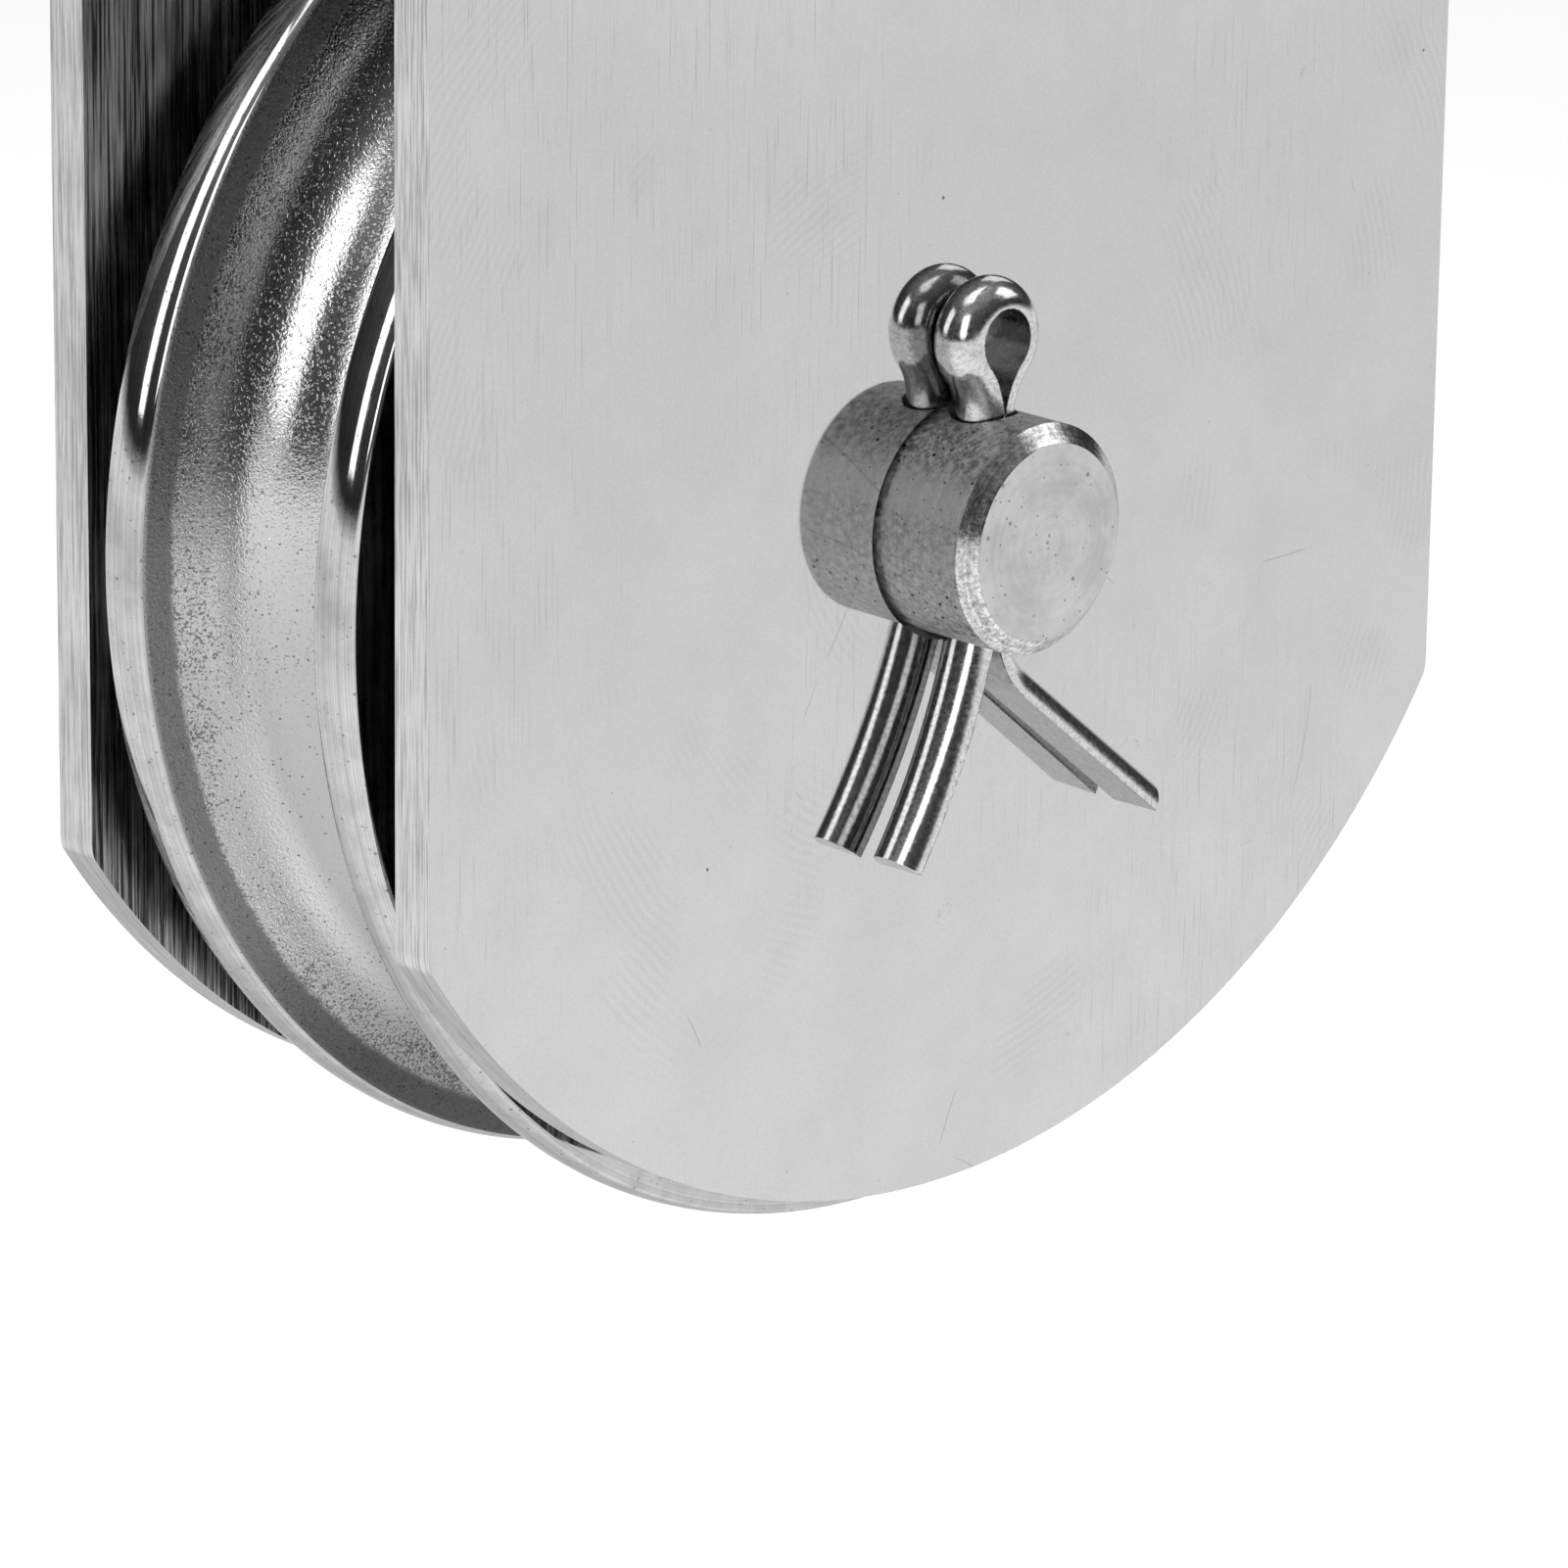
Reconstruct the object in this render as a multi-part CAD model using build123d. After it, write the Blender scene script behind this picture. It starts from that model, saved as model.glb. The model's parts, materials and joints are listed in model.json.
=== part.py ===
from build123d import *
import math
import os

# Swivel hook pulley: a single grooved sheave on a ball bearing, hung in a U-bent strap of flat bar.
# Millimetres. +Z is up, X runs across the cheeks, Y along the axle, with the split pin on the -Y side.
# The origin is the highest point inside the hook's bowl, where the load is carried.

# Driving dimensions: sheave
sheave_diameter = 100.0
sheave_width = 24.0
rim_land = 3.8
rim_edge_radius = 0.8
groove_depth = 10.5
groove_flank_angle = 12.0
web_recess = 3.0
web_ring = 3.0
web_draft = 0.9
hub_wall = 7.0

# Driving dimensions: ball bearing in the hub
bearing_diameter = 40.0
bearing_width = 12.0
race_thickness = 3.9
ball_diameter = 6.7
ball_count = 8
ball_clearance = 0.04
cage_thickness = 1.6
cage_width = 8.2
pocket_clearance = 0.08
shield_thickness = 0.4
shield_clearance = 0.2
shield_inset = 0.3
race_chamfer = 0.6
circlip_thickness = 1.75
circlip_groove_depth = 1.25
circlip_width = 2.6
circlip_lug_radius = 2.4
circlip_lug_hole = 1.0
circlip_gap_angle = 14.0
hub_shoulder = 2.6

# Driving dimensions: axle pin and its split pin
pin_diameter = 15.8
pin_stand_out = 8.4
pin_chamfer = 1.2
pin_head_diameter = 24.0
pin_head_height = 4.5
pin_fit = 0.03
cheek_hole_clearance = 0.45
spacer_wall = 3.0
spacer_clearance = 0.2
cotter_size = 4.0
cotter_offset = 2.35
cotter_shift = 0.5
cotter_turn = 2.6
cotter_lean = 1.15
cotter_hole_clearance = 0.3
cotter_wire_gap = 0.08
cotter_eye_width = 4.4
cotter_eye_height = 7.8
cotter_eye_depth = 0.6
cotter_bend_depth = 1.7
cotter_bend_radius = 7.0
cotter_left_turn = 14.0
cotter_left_curl = 18.5
cotter_left_length = 16.1
cotter_right_turn = 53.0
cotter_right_length = 17.2

# Driving dimensions: strap of flat bar
cheek_gap = 29.5
cheek_thickness = 3.2
cheek_width = 97.0
cheek_end_radius = 58.0
cheek_end_below_axle = 46.9
cheek_corner_radius = 1.6
bend_radius = 3.2
shoulder_height = 47.0
crown_height = 78.0
crown_width = 56.0
shoulder_radius = 12.0

# Driving dimensions: swivel hook
bowl_radius = 17.0
hook_crown_depth = 18.0
hook_crown_width = 15.0
hook_back_depth = 19.0
hook_tip_depth = 9.0
hook_neck_diameter = 18.0
hook_neck_drop = 43.0
hook_neck_straight = 1.7
hook_back_angle = -48.0
hook_tip_angle = 203.0
hook_nose = 5.0
hook_sections = 18
collar_diameter = 27.0
collar_height = 5.0
shank_diameter = 16.0
shank_chamfer = 1.2
shank_past_nut = 2.0
swivel_clearance = 0.1
crown_hole_clearance = 0.5
washer_thickness = 2.5
washer_bore_clearance = 0.3

# Driving dimensions: nut and the roll pin that locks it
nut_across_flats = 24.0
nut_height = 14.0
nut_chamfer = 1.2
roll_pin_diameter = 4.0
roll_pin_wall = 0.8
roll_pin_slit = 0.6
roll_pin_inset = 0.3

# Driving dimensions: latch
latch_hinge_out = 14.2
latch_hinge_drop = 34.5
latch_length = 27.5
latch_sheet = 1.5
latch_width = 11.4
latch_ear_radius = 3.9
latch_side_clearance = 0.3
latch_rest_gap = 0.3
latch_contact_share = 0.9
latch_fold_overlap = 0.5
lug_width = 4.4
lug_radius = 3.4
latch_pin_diameter = 3.2
latch_pin_fit = 0.05
latch_pin_head = 1.2
spring_wire = 1.0
spring_turns = 2
spring_bore_clearance = 0.25
spring_coil_pitch = 0.96
spring_latch_clearance = 0.15
spring_tail_angle = 25.0
spring_tail_gap = 0.5

# Heights worked out from the hook down to the axle
bowl_z = -bowl_radius
collar_top_z = bowl_z - hook_neck_drop
collar_bottom_z = collar_top_z - collar_height
crown_top_z = collar_bottom_z - swivel_clearance - washer_thickness
crown_bottom_z = crown_top_z - cheek_thickness
nut_top_z = crown_bottom_z - washer_thickness - swivel_clearance
nut_bottom_z = nut_top_z - nut_height
shank_end_z = nut_bottom_z - shank_past_nut
axle_z = crown_bottom_z - crown_height

# Widths worked out along the axle
sheave_radius = sheave_diameter / 2
groove_half_width = sheave_width / 2 - rim_land
tread_radius = sheave_radius - groove_depth
bearing_radius = bearing_diameter / 2
bearing_half = bearing_width / 2
pin_radius = pin_diameter / 2
bearing_bore_radius = pin_radius + pin_fit
inner_race_radius = bearing_bore_radius + race_thickness
outer_race_bore = bearing_radius - race_thickness
ball_circle = (inner_race_radius + outer_race_bore) / 2
hub_radius = bearing_radius + hub_wall
cheek_inside = cheek_gap / 2
cheek_outside = cheek_inside + cheek_thickness
cotter_y = -cheek_outside - cotter_offset
overcut = 1.0

os.makedirs("parts", exist_ok=True)
made = {}


def keep(name, shape):
    """Store one named piece and write its file."""
    shape.label = name
    made[name] = shape
    export_step(shape, f"parts/{name}.step")


def on_axle(shape):
    """Turn a shape made round the Z axis at the origin so that it lies round the axle."""
    return Pos(0, 0, axle_z) * Rot(90, 0, 0) * shape


def ring(outer, inner, length, centre=0.0):
    """A plain tube round Z, centred on a height."""
    return Pos(0, 0, centre) * (Cylinder(outer, length) - Cylinder(inner, length + overcut))


def turned(points):
    """A solid of revolution round Z from (radius, height) points."""
    profile = make_face(Polyline(*[(r, z) for r, z in points], close=True))
    return revolve(Plane.XZ * profile, Axis.Z)


# Strap: one flat bar bent over the crown, cut to the cheeks' outline
strap_base_z = axle_z - cheek_end_below_axle
end_centre_z = strap_base_z + cheek_end_radius
corner_z = end_centre_z - math.sqrt(cheek_end_radius**2 - (cheek_width / 2) ** 2)
shoulder_z = axle_z + shoulder_height
shoulder_top_z = crown_bottom_z - bend_radius - shoulder_radius / 2


def strap():
    """The bent bar with its outline, the swivel hole and the two axle holes."""
    height = crown_top_z - strap_base_z + 2 * cheek_thickness
    outer = Rectangle(2 * cheek_outside, height)
    outer = fillet(outer.vertices().group_by(Axis.Y)[-1], bend_radius + cheek_thickness)
    inner = Pos(0, -cheek_thickness) * Rectangle(cheek_gap, height)
    inner = fillet(inner.vertices().group_by(Axis.Y)[-1], bend_radius)
    bar = extrude(Plane.YZ * (outer - inner), amount=cheek_width / 2 + overcut, both=True)
    bar = Pos(0, 0, crown_top_z - height / 2) * bar
    half = cheek_width / 2
    top = crown_width / 2
    above = crown_top_z + overcut
    outline = make_face(
        ThreePointArc((-half, corner_z), (0, strap_base_z), (half, corner_z))
        + Line((half, corner_z), (half, shoulder_z))
        + Line((half, shoulder_z), (top, shoulder_top_z))
        + Line((top, shoulder_top_z), (top, above))
        + Line((top, above), (-top, above))
        + Line((-top, above), (-top, shoulder_top_z))
        + Line((-top, shoulder_top_z), (-half, shoulder_z))
        + Line((-half, shoulder_z), (-half, corner_z))
    )
    rows = outline.vertices().group_by(Axis.Y)
    outline = fillet(rows[1] + rows[2], shoulder_radius)
    outline = fillet(outline.vertices().group_by(Axis.Y)[0], cheek_corner_radius)
    bar = bar & extrude(Plane.XZ * outline, amount=cheek_outside + overcut, both=True)
    bar -= Pos(0, 0, crown_top_z) * Cylinder(shank_diameter / 2 + crown_hole_clearance, 4 * cheek_thickness)
    bar -= on_axle(Cylinder(pin_radius + cheek_hole_clearance, 2 * (cheek_outside + overcut)))
    return bar


keep("frame_strap", strap())


# Sheave: one casting turned on its rims, with the groove, dished webs and the bearing's seat
def sheave():
    """Blank, groove, dished sides, stepped bore and circlip groove."""
    half = sheave_width / 2
    blank = Cylinder(sheave_radius, sheave_width)
    blank = fillet(blank.edges().filter_by(GeomType.CIRCLE), rim_edge_radius)
    slope = math.radians(groove_flank_angle)
    flank_foot = groove_half_width - groove_depth * math.tan(slope)
    floor_radius = flank_foot * math.cos(slope) / (1 - math.sin(slope))
    touch_r = tread_radius + floor_radius * (1 - math.sin(slope))
    touch_y = floor_radius * math.cos(slope)
    over = sheave_radius + overcut
    over_y = groove_half_width + overcut * math.tan(slope)
    groove = make_face(
        ThreePointArc((touch_r, -touch_y), (tread_radius, 0), (touch_r, touch_y))
        + Line((touch_r, touch_y), (over, over_y))
        + Line((over, over_y), (over, -over_y))
        + Line((over, -over_y), (touch_r, -touch_y))
    )
    wheel = blank - revolve(Plane.XZ * groove, Axis.Z)
    dish_outer = tread_radius - web_ring
    for side in (-1, 1):
        dish = turned(
            [
                (hub_radius, side * (half - web_recess)),
                (dish_outer - web_recess, side * (half - web_recess)),
                (dish_outer + overcut, side * (half + overcut)),
                (hub_radius - web_draft, side * (half + overcut)),
            ]
        )
        wheel -= dish
    seat_length = half + bearing_half
    wheel -= Pos(0, 0, seat_length / 2 - bearing_half) * Cylinder(bearing_radius, seat_length)
    wheel -= Cylinder(bearing_radius - hub_shoulder, sheave_width + overcut)
    wheel -= Pos(0, 0, circlip_z) * Cylinder(bearing_radius + circlip_groove_depth, circlip_thickness)
    return wheel


circlip_z = bearing_half + circlip_thickness / 2


def circlip():
    """A spring ring in the hub's groove, open at the top, with two drilled lugs."""
    outer = bearing_radius + circlip_groove_depth
    inner = bearing_radius - circlip_width
    plate = Circle(outer) - Circle(inner)
    cut = Polygon(
        (0, 0),
        (2 * outer * math.sin(math.radians(circlip_gap_angle)), 2 * outer),
        (-2 * outer * math.sin(math.radians(circlip_gap_angle)), 2 * outer),
        align=None,
    )
    plate -= cut
    lug_radius_out = inner + circlip_lug_radius / 2
    for side in (-1, 1):
        turn = side * (circlip_gap_angle * 1.15 + math.degrees(circlip_lug_radius / lug_radius_out))
        lug = Rot(0, 0, turn) * Pos(0, lug_radius_out) * Circle(circlip_lug_radius)
        hole = Rot(0, 0, turn) * Pos(0, lug_radius_out) * Circle(circlip_lug_hole)
        plate = plate + lug - hole
    return Pos(0, 0, circlip_z) * extrude(plate, amount=circlip_thickness / 2, both=True)


keep("sheave", on_axle(sheave()))
keep("bearing_circlip", on_axle(circlip()))


# Ball bearing: two grooved races, a drilled cage, eight balls and two shields
def race_groove():
    """The ring-shaped space that the balls run in."""
    return revolve(Pos(ball_circle, 0, 0) * Plane.XZ * Circle(ball_diameter / 2 + ball_clearance), Axis.Z)


def ball_places():
    """The centres of the balls round Z."""
    return [Rot(0, 0, 360 * i / ball_count) * Pos(ball_circle, 0, 0) for i in range(ball_count)]


shield_y = bearing_half - shield_inset - shield_thickness / 2
outer_race = ring(bearing_radius, outer_race_bore, bearing_width)
outer_race = chamfer(outer_race.edges().filter_by(GeomType.CIRCLE).group_by(SortBy.RADIUS)[-1], race_chamfer)
inner_race = ring(inner_race_radius, bearing_bore_radius, bearing_width)
cage = ring(ball_circle + cage_thickness / 2, ball_circle - cage_thickness / 2, cage_width)
balls = Compound(children=[place * Sphere(ball_diameter / 2) for place in ball_places()])
for place in ball_places():
    cage -= place * Rot(0, 90, 0) * Cylinder(ball_diameter / 2 + pocket_clearance, 4 * cage_thickness)
keep("bearing_outer_race", on_axle(outer_race - race_groove()))
keep("bearing_inner_race", on_axle(inner_race - race_groove()))
keep("bearing_cage", on_axle(cage))
keep("bearing_balls", on_axle(balls))
for name, side in (("bearing_shield_front", 1), ("bearing_shield_rear", -1)):
    shield = ring(outer_race_bore, inner_race_radius + shield_clearance, shield_thickness, side * shield_y)
    keep(name, on_axle(shield))

# Spacer tubes that hold the inner race midway between the cheeks
spacer_length = cheek_inside - bearing_half
for name, side in (("spacer_front", 1), ("spacer_rear", -1)):
    spacer_bore = pin_radius + spacer_clearance
    spacer_middle = side * (bearing_half + spacer_length / 2)
    keep(name, on_axle(ring(spacer_bore + spacer_wall, spacer_bore, spacer_length, spacer_middle)))


# Axle pin: headed at the back, chamfered in front, cross-drilled for the split pin
def axle_pin():
    """The pin, made round Z with its front end towards +Z."""
    front = cheek_outside + pin_stand_out
    back = -cheek_outside
    shank = turned(
        [
            (0, back - pin_head_height),
            (pin_head_diameter / 2 - pin_chamfer, back - pin_head_height),
            (pin_head_diameter / 2, back - pin_head_height + pin_chamfer),
            (pin_head_diameter / 2, back),
            (pin_radius, back),
            (pin_radius, front - pin_chamfer),
            (pin_radius - pin_chamfer, front),
            (0, front),
        ]
    )
    return shank


def split_pin():
    """A folded half-round wire: an eye on top, and two legs that spread below the axle.

    It lies in the XZ plane round the origin, with its hole along Z.
    """
    half_gap = cotter_wire_gap / 2
    section_radius = cotter_size / 2 - half_gap
    eye = cotter_eye_width / 2
    rise = cotter_eye_height - eye
    neck = (rise**2 - eye**2 + half_gap**2) / (2 * (eye - half_gap))
    bend = cotter_bend_radius
    eye_start = pin_radius - cotter_eye_depth
    exit_depth = pin_radius - cotter_bend_depth
    eye_z = eye_start + rise

    def leg(side, turn, length):
        """Points of one side: the leg's end, the bend's end, middle and start, and the neck."""
        angle = math.radians(turn)
        centre_x = side * (half_gap + bend)
        bend_end = (centre_x - side * bend * math.cos(angle), -exit_depth - bend * math.sin(angle))
        bend_mid = (centre_x - side * bend * math.cos(angle / 2), -exit_depth - bend * math.sin(angle / 2))
        end = (bend_end[0] + side * length * math.sin(angle), bend_end[1] - length * math.cos(angle))
        return end, bend_end, bend_mid, (side * half_gap, -exit_depth), (side * half_gap, eye_start)

    def neck_arc(side):
        """The arc that opens from the neck into the eye."""
        reach = eye + neck
        touch = (side * eye * (half_gap + neck) / reach, eye_z - eye * rise / reach)
        full = math.atan2(rise, half_gap + neck)
        middle = (side * (half_gap + neck - neck * math.cos(full / 2)), eye_start + neck * math.sin(full / 2))
        return ThreePointArc((side * half_gap, eye_start), middle, touch), touch

    def curled_end(bent):
        """The end and the middle of the left leg, which goes on bending a little down to its end."""
        curl = cotter_left_length / math.radians(cotter_left_curl)
        first = math.radians(cotter_left_turn)
        points = []
        for share in (1, 0.5):
            angle = first + share * math.radians(cotter_left_curl)
            points.append(
                (
                    bent[0] - curl * (math.cos(first) - math.cos(angle)),
                    bent[1] - curl * (math.sin(angle) - math.sin(first)),
                )
            )
        return points

    _, bent_l, mid_l, start_l, neck_l = leg(-1, cotter_left_turn, cotter_left_length)
    end_l, curl_l = curled_end(bent_l)
    end_r, bent_r, mid_r, start_r, neck_r = leg(1, cotter_right_turn, cotter_right_length)
    arc_l, touch_l = neck_arc(-1)
    arc_r, touch_r = neck_arc(1)
    path = Plane.XZ * (
        ThreePointArc(end_l, curl_l, bent_l)
        + ThreePointArc(bent_l, mid_l, start_l)
        + Line(start_l, neck_l)
        + arc_l
        + ThreePointArc(touch_l, (0, eye_z + eye), touch_r)
        + arc_r
        + Line(neck_r, start_r)
        + ThreePointArc(start_r, mid_r, bent_r)
        + Line(bent_r, end_r)
    )
    tangent = path % 0
    outward = Vector(0, -1, 0).cross(tangent)
    plane = Plane(origin=path @ 0, x_dir=outward, z_dir=tangent)
    flat_side = Pos(section_radius, 0) * Rectangle(2 * section_radius, 3 * section_radius)
    return sweep(plane * (Circle(section_radius) & flat_side), path=path)


cotter_frame = Pos(-cotter_shift, cotter_y, axle_z) * Rot(-cotter_lean, cotter_turn, 0)
cotter_hole = cotter_frame * Cylinder(cotter_size / 2 + cotter_hole_clearance, 2 * pin_diameter)
keep("axle_pin", on_axle(axle_pin()) - cotter_hole)
keep("axle_cotter", cotter_frame * split_pin())


# Swivel hook: a forged bar, thickest over the bowl, on a collar and a round shank
def hook_centreline():
    """The bar's middle line in the XZ plane, from the collar to the nose."""
    radius = bowl_radius + hook_crown_depth / 2
    start = math.radians(hook_back_angle)
    arc_start = (radius * math.cos(start), bowl_z + radius * math.sin(start))
    neck_top = (0, collar_top_z + hook_neck_straight)
    goose = Spline(neck_top, arc_start, tangents=[(0, 1), (-math.sin(start), math.cos(start))])
    bowl = CenterArc((0, bowl_z), radius, hook_back_angle, hook_tip_angle - hook_back_angle)
    return Plane.XZ * (Line((0, collar_top_z), neck_top) + goose + bowl)


def hook_size(share):
    """The section's depth and width at a share of the middle line, between the sizes named here."""
    neck = hook_neck_diameter
    tip_width = 1.1 * hook_tip_depth
    sizes = [
        (0.0, neck, neck),
        (0.12, neck, neck),
        (0.36, hook_back_depth, hook_crown_width),
        (0.62, hook_crown_depth, hook_crown_width),
        (0.8, 0.8 * hook_crown_depth, 0.9 * hook_crown_width),
        (0.94, 1.1 * hook_tip_depth, 1.1 * tip_width),
        (1.0, hook_tip_depth, tip_width),
    ]
    for (low, low_depth, low_width), (high, high_depth, high_width) in zip(sizes, sizes[1:]):
        if share <= high:
            blend = (share - low) / (high - low)
            return low_depth + blend * (high_depth - low_depth), low_width + blend * (high_width - low_width)
    return sizes[-1][1:]


def hook_bar():
    """Oval sections lofted along the middle line, closed by a rounded nose."""
    line = hook_centreline()
    faces = []
    for i in range(hook_sections + 1):
        share = i / hook_sections
        depth, width = hook_size(share)
        plane = Plane(origin=line @ share, x_dir=(0, 1, 0), z_dir=line % share)
        faces.append(plane * Ellipse(width / 2, depth / 2))
    depth, width = hook_size(1.0)
    for share in (0.45, 0.8):
        size = math.sqrt(1 - share**2)
        faces.append(plane.offset(share * hook_nose) * Ellipse(size * width / 2, size * depth / 2))
    return loft(faces)


hinge_x = -latch_hinge_out
hinge_z = bowl_z - latch_hinge_drop


def swivel_hook():
    """Bar, collar, shank and the latch's lug, with the two cross holes."""
    body = hook_bar()
    collar = Pos(0, 0, (collar_top_z + collar_bottom_z) / 2) * Cylinder(collar_diameter / 2, collar_height)
    collar = fillet(collar.edges().group_by(Axis.Z)[-1], 0.4 * collar_height)
    length = collar_bottom_z - shank_end_z
    shank = Pos(0, 0, shank_end_z + length / 2) * Cylinder(shank_diameter / 2, length)
    shank = chamfer(shank.edges().group_by(Axis.Z)[0], shank_chamfer)
    lug_back = make_face(Polyline((hinge_x, hinge_z + lug_radius), (0, hinge_z + lug_radius),
                                  (0, hinge_z - lug_radius), (hinge_x, hinge_z - lug_radius), close=True))
    lug_outline = lug_back + Pos(hinge_x, hinge_z) * Circle(lug_radius)
    lug = extrude(Plane.XZ * lug_outline, amount=lug_width / 2, both=True)
    body = body + collar + shank + lug
    body -= Pos(hinge_x, 0, hinge_z) * Rot(90, 0, 0) * Cylinder(latch_pin_diameter / 2, 2 * latch_width)
    return body - roll_pin_hole


roll_pin_z = nut_bottom_z + nut_height / 2


def hook_nut():
    """A hexagon nut with chamfered ends and a cross hole."""
    hexagon = RegularPolygon(nut_across_flats / 2, 6, major_radius=False)
    body = extrude(hexagon, amount=nut_height / 2, both=True)
    corner_radius = nut_across_flats / math.sqrt(3)
    cap = Cylinder(corner_radius, nut_height)
    cap = chamfer(cap.edges().filter_by(GeomType.CIRCLE), 0.5 * nut_chamfer, nut_chamfer)
    body = (body & cap) - Cylinder(shank_diameter / 2, 2 * nut_height)
    return Pos(0, 0, roll_pin_z) * body - roll_pin_hole


def roll_pin():
    """A slit spring tube, as long as the nut is wide, along X."""
    length = nut_across_flats - 2 * roll_pin_inset
    tube = ring(roll_pin_diameter / 2, roll_pin_diameter / 2 - roll_pin_wall, length)
    tube -= Pos(0, roll_pin_diameter / 2, 0) * Box(roll_pin_slit, roll_pin_diameter, 2 * length)
    return Pos(0, 0, roll_pin_z) * Rot(0, 90, 0) * tube


roll_pin_hole = Pos(0, 0, roll_pin_z) * Rot(0, 90, 0) * Cylinder(roll_pin_diameter / 2, 2 * nut_across_flats)
keep("swivel_hook", swivel_hook())
keep("hook_nut", hook_nut())
keep("nut_roll_pin", roll_pin())
washer_radius = cheek_inside - bend_radius
washer_bore = shank_diameter / 2 + washer_bore_clearance
above_crown = crown_top_z + washer_thickness / 2
below_crown = crown_bottom_z - washer_thickness / 2
keep("swivel_washer_top", ring(washer_radius, washer_bore, washer_thickness, above_crown))
keep("swivel_washer_bottom", ring(washer_radius, washer_bore, washer_thickness, below_crown))

# Latch: a folded sheet on a cross pin, closed against the inside of the hook's nose
coil_radius = latch_pin_diameter / 2 + spring_bore_clearance + spring_wire / 2
latch_stand = coil_radius + spring_wire / 2 + spring_latch_clearance
latch_inside = lug_width / 2 + latch_side_clearance + spring_turns * spring_wire + latch_side_clearance
contact_radius = bowl_radius + (hook_crown_depth - hook_size(latch_contact_share)[0]) / 2 - latch_rest_gap
latch_face = latch_stand + latch_sheet
hinge_to_bowl = math.hypot(hinge_x, bowl_z - hinge_z)
corner_reach = math.hypot(latch_length, latch_face)
bowl_direction = math.atan2(bowl_z - hinge_z, -hinge_x)
side_squares = corner_reach**2 + hinge_to_bowl**2 - contact_radius**2
swing = math.acos(side_squares / (2 * corner_reach * hinge_to_bowl))
latch_direction = math.degrees(bowl_direction + swing - math.atan2(latch_face, latch_length))
latch_frame = Pos(hinge_x, 0, hinge_z) * Rot(0, -latch_direction, 0)


def latch():
    """Lengthwise along local X, its outer face towards local +Z, folded down at both sides."""
    start = latch_ear_radius + latch_fold_overlap
    half = latch_inside + latch_sheet
    fold_z = latch_stand + latch_fold_overlap
    plan = make_face(
        Polyline((start, half), (0.6 * latch_length, half), (latch_length, latch_width / 3),
                 (latch_length, -latch_width / 3), (0.6 * latch_length, -half), (start, -half), close=True)
    )
    plate = Pos(0, 0, latch_stand) * extrude(plan, amount=latch_sheet)
    cheek = make_face(
        Polyline((0, -latch_ear_radius), (0.55 * latch_length, 0), (0.6 * latch_length, fold_z),
                 (start, fold_z), (0, latch_ear_radius), close=True)
    )
    cheek += Circle(latch_ear_radius)
    for side in (-1, 1):
        middle = side * (latch_inside + latch_sheet / 2)
        plate += Pos(0, middle, 0) * extrude(Plane.XZ * cheek, amount=latch_sheet / 2, both=True)
    hole = Rot(90, 0, 0) * Cylinder(latch_pin_diameter / 2 + latch_pin_fit, 4 * latch_width)
    return plate - hole


def latch_spring():
    """Coils on both sides of the lug, joined by a bail under the latch, each with a tail on the neck."""
    first = lug_width / 2 + latch_side_clearance + spring_wire / 2
    last = first + (spring_turns - 1) * spring_coil_pitch * spring_wire
    bail_x = 0.5 * latch_length
    tail_gap = latch_hinge_out - coil_radius - (hook_neck_diameter + spring_wire) / 2 - spring_tail_gap
    tail_length = tail_gap / math.sin(math.radians(spring_tail_angle))
    spring = Pos(bail_x, 0, coil_radius) * Rot(90, 0, 0) * Cylinder(spring_wire / 2, 2 * first + spring_wire)
    for side in (-1, 1):
        profile = Pos(coil_radius, side * first) * Circle(spring_wire / 2)
        for i in range(1, spring_turns):
            out = first + i * spring_coil_pitch * spring_wire
            profile += Pos(coil_radius, side * out) * Circle(spring_wire / 2)
        spring += revolve(profile, Axis.Y)
        arm = Rot(0, 90, 0) * Cylinder(spring_wire / 2, bail_x)
        spring += Pos(bail_x / 2, side * first, coil_radius) * arm
        tail = Pos(-tail_length / 2, 0, 0) * Rot(0, 90, 0) * Cylinder(spring_wire / 2, tail_length)
        spring += Pos(0, side * last, -coil_radius) * Rot(0, -spring_tail_angle, 0) * tail
    return spring


keep("hook_latch", latch_frame * latch())
keep("latch_spring", latch_frame * latch_spring())
pin_half = latch_inside + latch_sheet + latch_side_clearance
latch_pin = Cylinder(latch_pin_diameter / 2, 2 * pin_half)
for side in (-1, 1):
    head = Cylinder(0.8 * latch_pin_diameter, latch_pin_head)
    latch_pin += Pos(0, 0, side * (pin_half + latch_pin_head / 2)) * head
keep("latch_pin", Pos(hinge_x, 0, hinge_z) * Rot(90, 0, 0) * latch_pin)

print("latch direction", round(latch_direction, 2), "axle height", round(axle_z, 2), "pieces", len(made))
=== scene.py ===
import json
import math
import bmesh
import bpy
from mathutils import Matrix, Vector


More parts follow.
